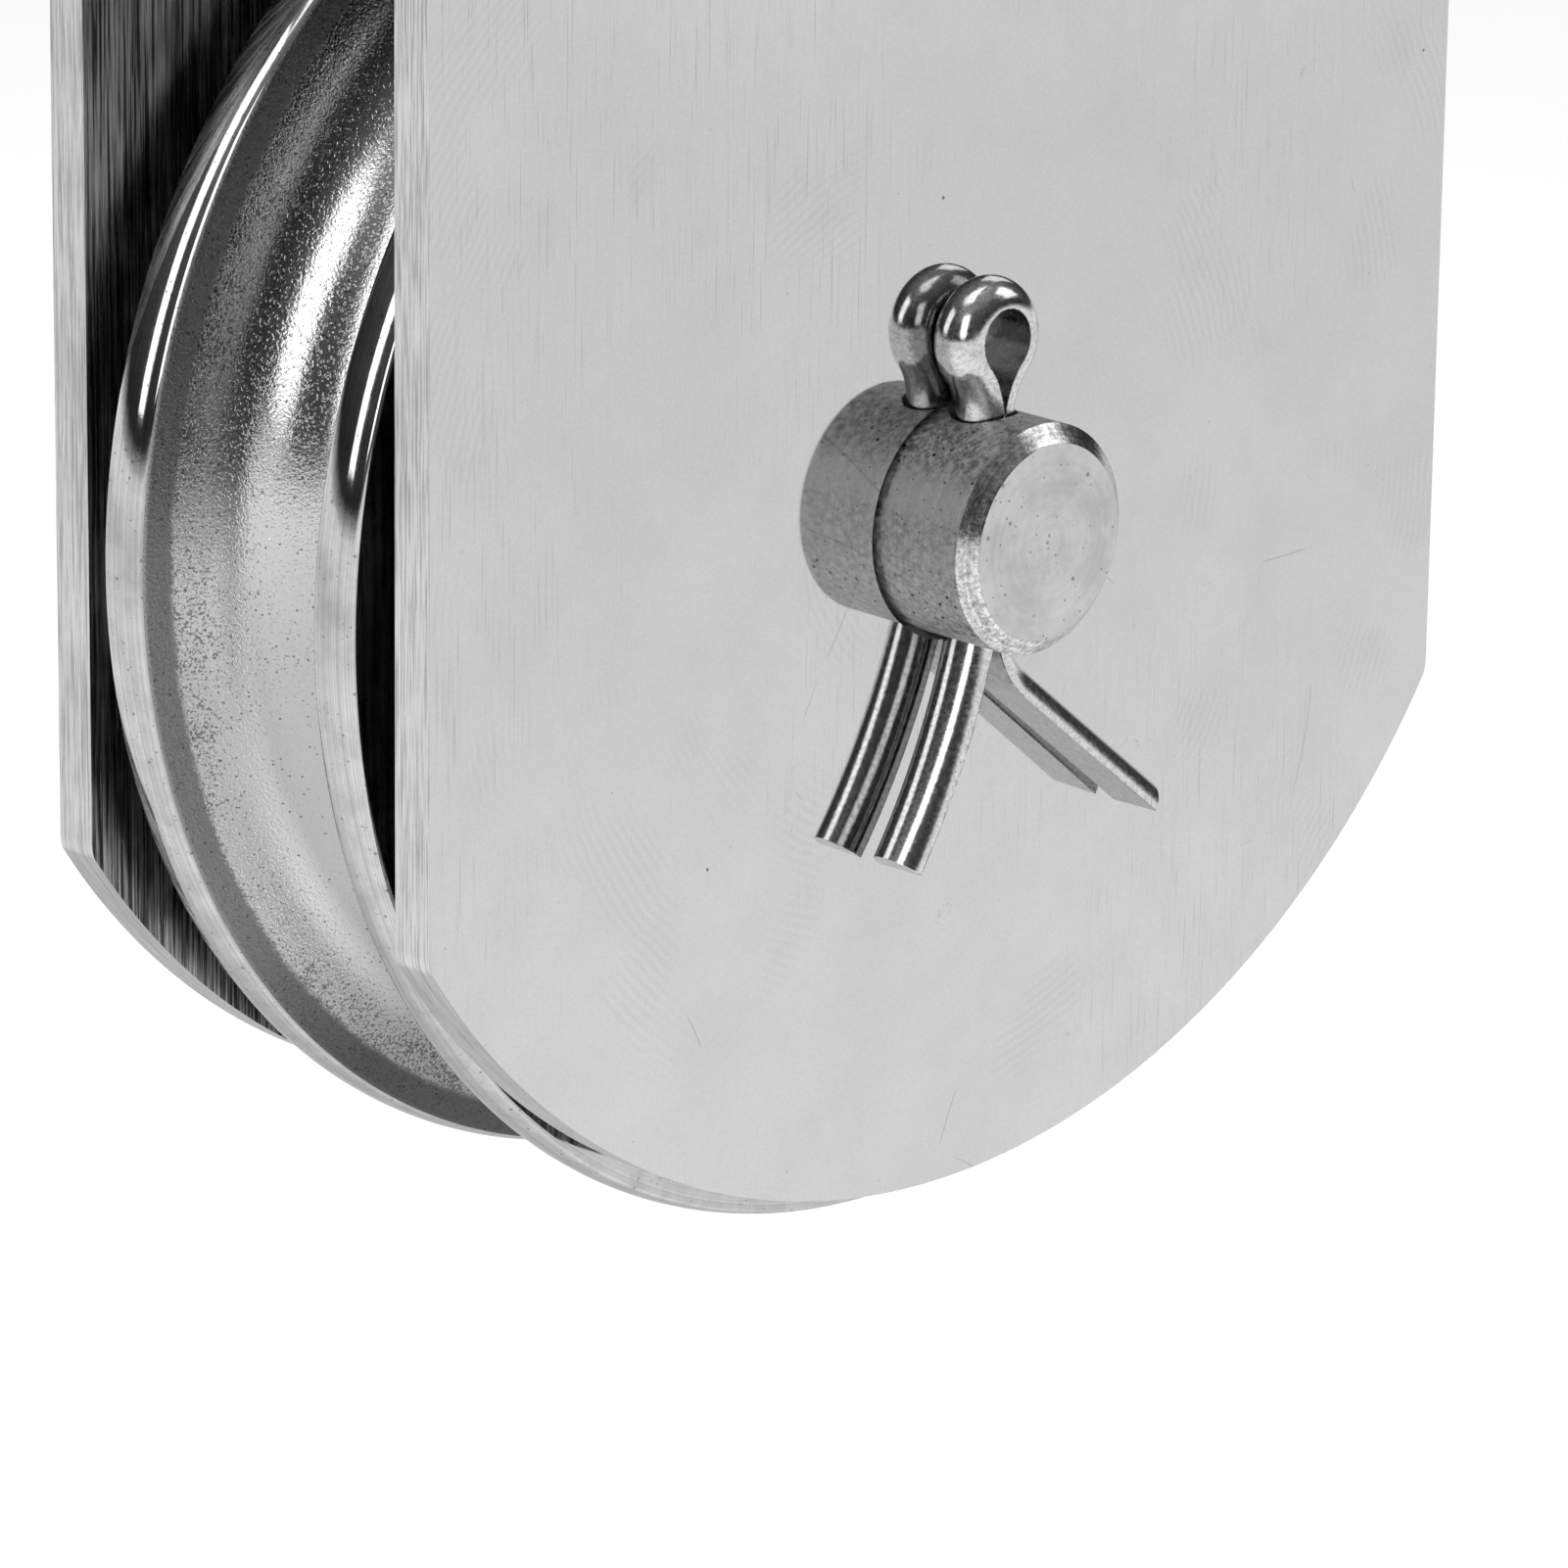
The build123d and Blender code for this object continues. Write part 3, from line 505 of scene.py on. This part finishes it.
bmesh.ops.spin(sheave_bm, geom=[front_rim[-1]], cent=(tread + groove_arc, 0, 0), axis=(0, 0, 1),
               angle=math.pi - 2 * flank_angle, steps=36, use_duplicate=False)
bmesh.ops.remove_doubles(sheave_bm, verts=sheave_bm.verts, dist=same_place)
turn_round_axle(sheave_bm, steps=288)
for face in sheave_bm.faces:
    centre = face.calc_center_median()
    from_axle = math.hypot(centre.x, centre.z - axle.z)
    in_groove = abs(centre.y) < groove_half and from_axle > hub_outside
    face.material_index = 1 if in_groove else 0


def seen_from_axle(tree, spot):
    """A place's coordinates with their origin on the axle, and its distance from the axle's line."""
    centred = add(tree, "ShaderNodeMapping", Vector=spot, Location=(0, 0, -axle.z))
    split = add(tree, "ShaderNodeSeparateXYZ", Vector=centred)
    flat = add(tree, "ShaderNodeCombineXYZ", X=split.outputs["X"], Z=split.outputs["Z"])
    return split, add(tree, "ShaderNodeVectorMath", {"operation": "LENGTH"}, n0=flat).outputs["Value"]


def turned_steel(name, tint, rough, line_mm, line_shade, line_depth, cloud_mm, cloud_shade,
                 pit_mm=1.5, pit_shade=0.0):
    """Stainless off the lathe: fine rings round the axle, a little cloudiness, and small dark pits."""
    material, tree, out = new_material(name)
    spot = add(tree, "ShaderNodeTexCoord").outputs["Object"]
    split, radius = seen_from_axle(tree, spot)
    rings = add(tree, "ShaderNodeCombineXYZ", X=radius, Y=split.outputs["Y"])
    lines = add(tree, "ShaderNodeTexNoise", Vector=rings, Scale=1000 / line_mm, Detail=2.0, Roughness=0.6)
    cloud = add(tree, "ShaderNodeTexNoise", Vector=spot, Scale=1000 / cloud_mm, Detail=6.0, Roughness=0.7)
    line_tone = add(tree, "ShaderNodeMapRange", smooth, Value=lines, From_Min=0.35, From_Max=0.65,
                    To_Min=1 - line_shade, To_Max=1.0)
    cloud_tone = add(tree, "ShaderNodeMapRange", smooth, Value=cloud, From_Min=0.35, From_Max=0.65,
                     To_Min=1 - cloud_shade, To_Max=1.0)
    tone = add(tree, "ShaderNodeMath", times, n0=line_tone, n1=cloud_tone)
    if pit_shade:
        tone = pitted(tree, spot, tone, spacing_mm=pit_mm, radius_mm=0.17 * pit_mm, left_out=0.45,
                      darkness=pit_shade)
        tone = pitted(tree, spot, tone, spacing_mm=0.5 * pit_mm, radius_mm=0.09 * pit_mm, left_out=0.4,
                      darkness=pit_shade)
    roughness = add(tree, "ShaderNodeMapRange", smooth, Value=cloud, From_Min=0.3, From_Max=0.7,
                    To_Min=0.75 * rough, To_Max=1.3 * rough)
    uneven = add(tree, "ShaderNodeMath", times_plus, n0=cloud, n1=2.0, n2=lines)
    steel_surface(tree, out, tint, tone, roughness, uneven, line_depth)
    return material


# Rims turned and polished: near mirrors with rings and a few pores, so they flip from black to white.
rim_polish = turned_steel(
    "turned_polished_steel", "#C4C4C4", rough=0.07, line_mm=0.2, line_shade=0.25, line_depth=2.4e-6,
    cloud_mm=2.2, cloud_shade=0.18, pit_mm=1.0, pit_shade=0.5)

# Groove as cast and tumbled: a pebbled, pitted skin, greyed where the rope ran. The tops of the flanks
# were never rubbed and stay dark. Painted shade darkens the upper front flank, the rope's path low down
# and the wheel's foot, where the pits also crowd.
grain_mm = 0.21
bead_mm = 0.24
blotch_mm = 0.9
skin_depth = 2.1e-5
grain_fray = 1.2 * MM
blotch_fray = 0.8 * MM
dull_radius = 47.3 * MM
dull_fade = 0.4 * MM
dull_tone = 0.42
dull_roughness = 0.25
flank_radii = (42.5 * MM, 46.5 * MM)
foot_heights = (-40 * MM, -22 * MM)
foot_painted_shade = 0.38
half_heights = (-8 * MM, 6 * MM)
path_painted_shade_tones = (0.54, 0.75)
path_edge = (5.6 * MM, 7.1 * MM)
front_flank = (-6 * MM, -4 * MM)
front_flank_shade_tones = (1.0, 0.2)
pitted_tone = 0.38
coarse_heights = (-20 * MM, 8 * MM)
coarse_roughness = 0.22
least_roughness = 0.1

groove_skin, tree, out = new_material("tumbled_cast_steel")
spot = add(tree, "ShaderNodeTexCoord").outputs["Object"]
split, radius = seen_from_axle(tree, spot)
grain = add(tree, "ShaderNodeTexNoise", Vector=spot, Scale=1000 / grain_mm, Detail=2.0, Roughness=0.6)
bead = add(tree, "ShaderNodeTexNoise", Vector=spot, Scale=1000 / bead_mm, Detail=1.0, Roughness=0.6)
blotch = add(tree, "ShaderNodeTexNoise", Vector=spot, Scale=1000 / blotch_mm, Detail=3.0, Roughness=0.6)
patch = add(tree, "ShaderNodeTexNoise", Vector=spot, Scale=110.0, Detail=3.0, Roughness=0.6)

# Where: dull is 1 on the flanks' tops, with a frayed edge, and foot, near_flank and in_front are 1 at
# the wheel's foot, high on a flank and on the front flank.
frayed = add(tree, "ShaderNodeMath", times_plus, n0=grain, n1=grain_fray, n2=radius)
ragged = add(tree, "ShaderNodeMath", times_plus, n0=blotch, n1=blotch_fray, n2=frayed)
ragged_from = dull_radius + (grain_fray + blotch_fray) / 2
dull = add(tree, "ShaderNodeMapRange", smooth, Value=ragged, From_Min=ragged_from,
           From_Max=ragged_from + dull_fade)
foot = add(tree, "ShaderNodeMapRange", smooth, Value=split.outputs["Z"], From_Min=foot_heights[0],
           From_Max=foot_heights[1], To_Min=1.0, To_Max=0.0)
near_flank = add(tree, "ShaderNodeMapRange", smooth, Value=radius, From_Min=flank_radii[0],
                 From_Max=flank_radii[1])
in_front = add(tree, "ShaderNodeMapRange", smooth, Value=split.outputs["Y"], From_Min=front_flank[0],
               From_Max=front_flank[1], To_Min=1.0, To_Max=0.0)

# Pits: the hollows of a mixed grain, more of them near the flanks and at the foot, fainter where dull.
rubbed = add(tree, "ShaderNodeMath", times_plus, n0=patch, n1=0.4, n2=grain)
mixed_skin = add(tree, "ShaderNodeMath", times_plus, n0=blotch, n1=0.25, n2=rubbed)
outward = add(tree, "ShaderNodeMath", times_plus, n0=near_flank, n1=-0.12, n2=mixed_skin)
thicker = add(tree, "ShaderNodeMath", times_plus, n0=foot, n1=-0.05, n2=outward)
pits = add(tree, "ShaderNodeMapRange", smooth, Value=thicker, From_Min=0.58, From_Max=0.65,
           To_Min=pitted_tone, To_Max=1.0)
fainter = add(tree, "ShaderNodeMath", times_plus, n0=pits, n1=0.35, n2=0.62)
pits_shown = add(tree, "ShaderNodeMix", Factor=dull, A=pits, B=fainter)

# Tone: the rope's path is greyed, and painted shade makes it greyest low down and the front flank darkest
# high up.
dulled = add(tree, "ShaderNodeMix", Factor=dull, A=1.0, B=dull_tone)
# Painted shade: the wheel's foot is darkened.
foot_shaded = add(tree, "ShaderNodeMix", Factor=foot, A=1.0, B=foot_painted_shade)
# Painted shade: the rope's path is greyer low down than high up.
path_grey_and_shade = add(tree, "ShaderNodeMapRange", smooth, Value=split.outputs["Z"], From_Min=half_heights[0],
                From_Max=half_heights[1], To_Min=path_painted_shade_tones[0], To_Max=path_painted_shade_tones[1])
rope_path_grey_and_shade = add(tree, "ShaderNodeMapRange", smooth, Value=split.outputs["Y"], From_Min=path_edge[0],
                From_Max=path_edge[1], To_Min=path_grey_and_shade, To_Max=1.0)
# Painted shade: the front flank is darkened high up.
front_flank_painted_shade = add(tree, "ShaderNodeMapRange", smooth, Value=split.outputs["Z"], From_Min=half_heights[0],
                 From_Max=half_heights[1], To_Min=front_flank_shade_tones[0], To_Max=front_flank_shade_tones[1])
rope_grey_and_painted_shade = add(tree, "ShaderNodeMix", Factor=in_front, A=rope_path_grey_and_shade, B=front_flank_painted_shade)
tone = add(tree, "ShaderNodeMath", times, n0=pits_shown, n1=dulled)
tone = add(tree, "ShaderNodeMath", times, n0=tone, n1=foot_shaded)
tone = add(tree, "ShaderNodeMath", times, n0=tone, n1=rope_grey_and_painted_shade)
tone = pitted(tree, spot, tone, spacing_mm=0.55, radius_mm=0.12, left_out=0.4, darkness=0.6)

# Roughness and relief: rougher low down and where dull, with round beads on the pebbles.
coarser = add(tree, "ShaderNodeMapRange", smooth, Value=split.outputs["Z"], From_Min=coarse_heights[0],
              From_Max=coarse_heights[1], To_Min=coarse_roughness, To_Max=0.0)
patchy = add(tree, "ShaderNodeMath", times_plus, n0=patch, n1=0.1, n2=coarser)
patchy = add(tree, "ShaderNodeMath", {"operation": "ADD"}, n0=patchy, n1=least_roughness)
roughness = add(tree, "ShaderNodeMath", times_plus, n0=dull, n1=dull_roughness, n2=patchy)
crowded = add(tree, "ShaderNodeMath", times_plus, n0=near_flank, n1=0.06, n2=bead)
beads = add(tree, "ShaderNodeMapRange", smooth, Value=crowded, From_Min=0.57, From_Max=0.68)
beaded = add(tree, "ShaderNodeMath", times_plus, n0=beads, n1=0.5, n2=mixed_skin)
steel_surface(tree, out, "#E2E2E2", tone, roughness, beaded, skin_depth)

wheel = finish_mesh("grooved_sheave", sheave_bm, rim_polish, groove_skin)
round_edges(wheel, "broken edges", sheave_edge_round, segments=4, sharper_than=28)
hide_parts("sheave")
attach(wheel, "wheel")

# Axle pin: a turned stainless bar, headed behind and chamfered in front, drilled across for the
# split pin. Its sides are stained grey between the lathe's rings.
pin_radius = 7.9 * MM
pin_chamfer = 1.2 * MM
pin_dome = 0.2 * MM
pin_head_radius = 12 * MM
pin_head_height = 4.5 * MM
pin_edge_round = 0.15 * MM
pin_front_y = pin_low[1]
cheek_outside = half_gap + bar_thickness
split_pin_size = 4 * MM
split_pin_hole = 2.3 * MM
split_pin_out = 2.35 * MM
split_pin_y = -cheek_outside - split_pin_out
split_pin_shift = -0.5 * MM
split_pin_turn = math.radians(2.6)
split_pin_lean = math.radians(-1.15)
drill_length = 30 * MM

pin_bm = bmesh.new()
turned_profile(pin_bm, [
    (0, pin_front_y), *[(share * (pin_radius - pin_chamfer), pin_front_y + pin_dome * share**2)
                        for share in (0.25, 0.5, 0.75, 1)], (pin_radius, pin_front_y + pin_chamfer),
    (pin_radius, cheek_outside), (pin_head_radius, cheek_outside),
    (pin_head_radius, cheek_outside + pin_head_height - pin_chamfer),
    (pin_head_radius - pin_chamfer, cheek_outside + pin_head_height), (0, cheek_outside + pin_head_height),
])
turn_round_axle(pin_bm, steps=160)
for face in pin_bm.faces:
    facing_end = abs(face.normal.y)
    face.material_index = 0 if facing_end < 0.3 else 1 if facing_end > 0.9 else 2
# The side keeps a grey mill skin with pores. The end was faced bright and has been handled, and the
# chamfer is knocked and burnished, so it glitters.
pin_side = turned_steel(
    "grey_skinned_bar_steel", "#D7D7D7", rough=0.54, line_mm=0.3, line_shade=0.12, line_depth=8e-6,
    cloud_mm=0.45, cloud_shade=0.5, pit_mm=1.0, pit_shade=1.0)
pin_end = turned_steel(
    "faced_bar_steel", "#C4C4C4", rough=0.22, line_mm=0.3, line_shade=0.06, line_depth=8e-7,
    cloud_mm=3.2, cloud_shade=0.2, pit_mm=1.3, pit_shade=0.5)
pin_corner = turned_steel(
    "burnished_corner_steel", "#E6E6E6", rough=0.14, line_mm=0.3, line_shade=0.3, line_depth=1e-5,
    cloud_mm=0.45, cloud_shade=0.6, pit_mm=0.6, pit_shade=0.6)
axle_pin = finish_mesh("axle_pin_turned", pin_bm, pin_side, pin_end, pin_corner)
drill_bm = bmesh.new()
split_pin_place = (Matrix.Translation((split_pin_shift, split_pin_y, axle.z))
                   @ Matrix.Rotation(split_pin_lean, 4, "X") @ Matrix.Rotation(split_pin_turn, 4, "Y"))
bmesh.ops.create_cone(drill_bm, cap_ends=True, segments=64, radius1=split_pin_hole, radius2=split_pin_hole,
                      depth=drill_length, matrix=split_pin_place)
drill = finish_mesh("drill", drill_bm)
bored = axle_pin.modifiers.new("cross hole", "BOOLEAN")
bored.operation = "DIFFERENCE"
bored.object = drill
bored.solver = "EXACT"
shaped = bpy.data.meshes.new_from_object(axle_pin.evaluated_get(bpy.context.evaluated_depsgraph_get()))
axle_pin.modifiers.clear()
axle_pin.data = shaped
bpy.data.objects.remove(drill)
round_edges(axle_pin, "broken edges", pin_edge_round, segments=2, sharper_than=30, material=2)
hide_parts("axle_pin")
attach(axle_pin, "frame")

# Split pin: bright half-round wire folded into an eye, pushed down through the axle and opened, one
# leg a little and the other far.
wire_gap = 0.04 * MM
wire_radius = split_pin_size / 2 - wire_gap
wire_edge_round = 0.25 * MM
eye_radius = 2.2 * MM
eye_rise = 5.6 * MM
eye_sunk = 0.6 * MM
legs_sunk = 1.7 * MM
leg_bend = 7 * MM
left_turn = math.radians(14)
left_curl = math.radians(18.5)
left_length = 16.1 * MM
right_turn = math.radians(53)
right_length = 17.2 * MM

eye_start = pin_radius - eye_sunk
legs_leave = pin_radius - legs_sunk
neck_radius = (eye_rise**2 - eye_radius**2 + wire_gap**2) / (2 * (eye_radius - wire_gap))
eye_open = math.atan2(eye_rise, wire_gap + neck_radius)

wire_bm = bmesh.new()
bmesh.ops.create_circle(wire_bm, radius=wire_radius, segments=32, cap_ends=False)
bmesh.ops.bisect_plane(wire_bm, geom=wire_bm.verts[:] + wire_bm.edges[:], plane_co=(0, 0, 0),
                       plane_no=(1, 0, 0), clear_outer=True)
section_ends = sorted((v for v in wire_bm.verts if len(v.link_edges) == 1), key=lambda v: v.co.y)
wire_bm.edges.new(section_ends)
bmesh.ops.translate(wire_bm, verts=wire_bm.verts, vec=(-wire_gap, 0, eye_start))
front = wire_bm.verts[:] + wire_bm.edges[:]


def carry_on(bm, front, angle, centre, steps):
    """Turns the wire's leading section about a centre in the XZ plane and returns the new one."""
    turned = bmesh.ops.spin(bm, geom=front, cent=centre, axis=(0, 1, 0), angle=angle, steps=steps,
                            use_duplicate=False)
    return turned["geom_last"]


def push_on(bm, front, way):
    """Draws the wire's leading section straight on and returns the new one."""
    drawn = bmesh.ops.extrude_edge_only(bm, edges=[g for g in front if isinstance(g, bmesh.types.BMEdge)])
    verts = [g for g in drawn["geom"] if isinstance(g, bmesh.types.BMVert)]
    bmesh.ops.translate(bm, verts=verts, vec=way)
    return verts + [g for g in drawn["geom"] if isinstance(g, bmesh.types.BMEdge)
                    and all(v in verts for v in g.verts)]


eye_z = eye_start + eye_rise
lead = carry_on(wire_bm, front, -eye_open, (-wire_gap - neck_radius, 0, eye_start), 12)
lead = carry_on(wire_bm, lead, math.pi + 2 * eye_open, (0, 0, eye_z), 40)
lead = carry_on(wire_bm, lead, -eye_open, (wire_gap + neck_radius, 0, eye_start), 12)
lead = push_on(wire_bm, lead, (0, 0, -eye_start - legs_leave))
lead = carry_on(wire_bm, lead, -right_turn, (wire_gap + leg_bend, 0, -legs_leave), 12)
lead = push_on(wire_bm, lead, (right_length * math.sin(right_turn), 0, -right_length * math.cos(right_turn)))
bmesh.ops.contextual_create(wire_bm, geom=lead)
start_edges = [e for e in wire_bm.edges
               if len(e.link_faces) == 1 and all(v.co.x < same_place for v in e.verts)]
start = list({v for e in start_edges for v in e.verts}) + start_edges
lead = push_on(wire_bm, start, (0, 0, -eye_start - legs_leave))
lead = carry_on(wire_bm, lead, left_turn, (-wire_gap - leg_bend, 0, -legs_leave), 6)
wider = left_length / left_curl - leg_bend
lead = carry_on(wire_bm, lead, left_curl, (-wire_gap - leg_bend - wider * math.cos(left_turn), 0,
                                           -legs_leave + wider * math.sin(left_turn)), 14)
bmesh.ops.contextual_create(wire_bm, geom=lead)
bmesh.ops.recalc_face_normals(wire_bm, faces=wire_bm.faces)
bmesh.ops.transform(wire_bm, verts=wire_bm.verts, matrix=split_pin_place)
for face in wire_bm.faces:
    full_width = [edge for edge in face.edges if abs(edge.calc_length() - 2 * wire_radius) < same_place]
    face.material_index = 1 if len(full_width) > 1 else 0
# Drawn bright: long black and white streaks with a sandy grain. The flat inner side is duller.
bright_wire = turned_steel(
    "bright_drawn_steel", "#D8D8D8", rough=0.17, line_mm=0.12, line_shade=0.12, line_depth=6e-7,
    cloud_mm=0.3, cloud_shade=0.35, pit_mm=0.5, pit_shade=0.5)
flat_wire = turned_steel(
    "dull_drawn_steel", "#C4C4C4", rough=0.26, line_mm=0.12, line_shade=0.1, line_depth=2e-6,
    cloud_mm=0.8, cloud_shade=0.3)
split_pin = finish_mesh("split_pin", wire_bm, bright_wire, flat_wire)
round_edges(split_pin, "drawn edges", wire_edge_round, segments=3, sharper_than=40)
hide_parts("axle_cotter")
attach(split_pin, "frame")

# The other pieces keep their solids and get their own finishes.
finishes = {
    "stainless_turned": turned_steel(
        "turned_bright_steel", "#C8C8C8", rough=0.22, line_mm=0.3, line_shade=0.08, line_depth=1.5e-6,
        cloud_mm=4.0, cloud_shade=0.1, pit_mm=1.5, pit_shade=0.3),
    "stainless_forged": brushed_steel(
        "forged_satin_steel", "#CDCDCD", rough=0.2, line_mm=0.5, line_reach=12, line_shade=0.1,
        line_depth=2e-6, cloud_shade=0.12)[0],
    "bearing_steel": turned_steel(
        "ground_bearing_steel", "#C9CACB", rough=0.12, line_mm=0.2, line_shade=0.05, line_depth=5e-7,
        cloud_mm=5.0, cloud_shade=0.05),
    "bronze": turned_steel(
        "machined_bronze", "#B08D57", rough=0.25, line_mm=0.3, line_shade=0.1, line_depth=1.5e-6,
        cloud_mm=3.0, cloud_shade=0.15, pit_mm=1.5, pit_shade=0.2),
    "spring_steel": brushed_steel(
        "drawn_spring_steel", "#A9A9A9", rough=0.25, line_mm=0.3, line_reach=20, line_shade=0.1,
        line_depth=2e-6, cloud_shade=0.1)[0],
    "stainless_bar": cheek_face,
}
replaced = {"frame_strap", "sheave", "axle_pin", "axle_cotter"}
for entry in frame["record"]["subparts"]:
    if entry["node"] in replaced:
        continue
    node = frame["nodes"][entry["node"]]
    for slot in node.material_slots:
        slot.material = finishes[entry["material_slot"]]
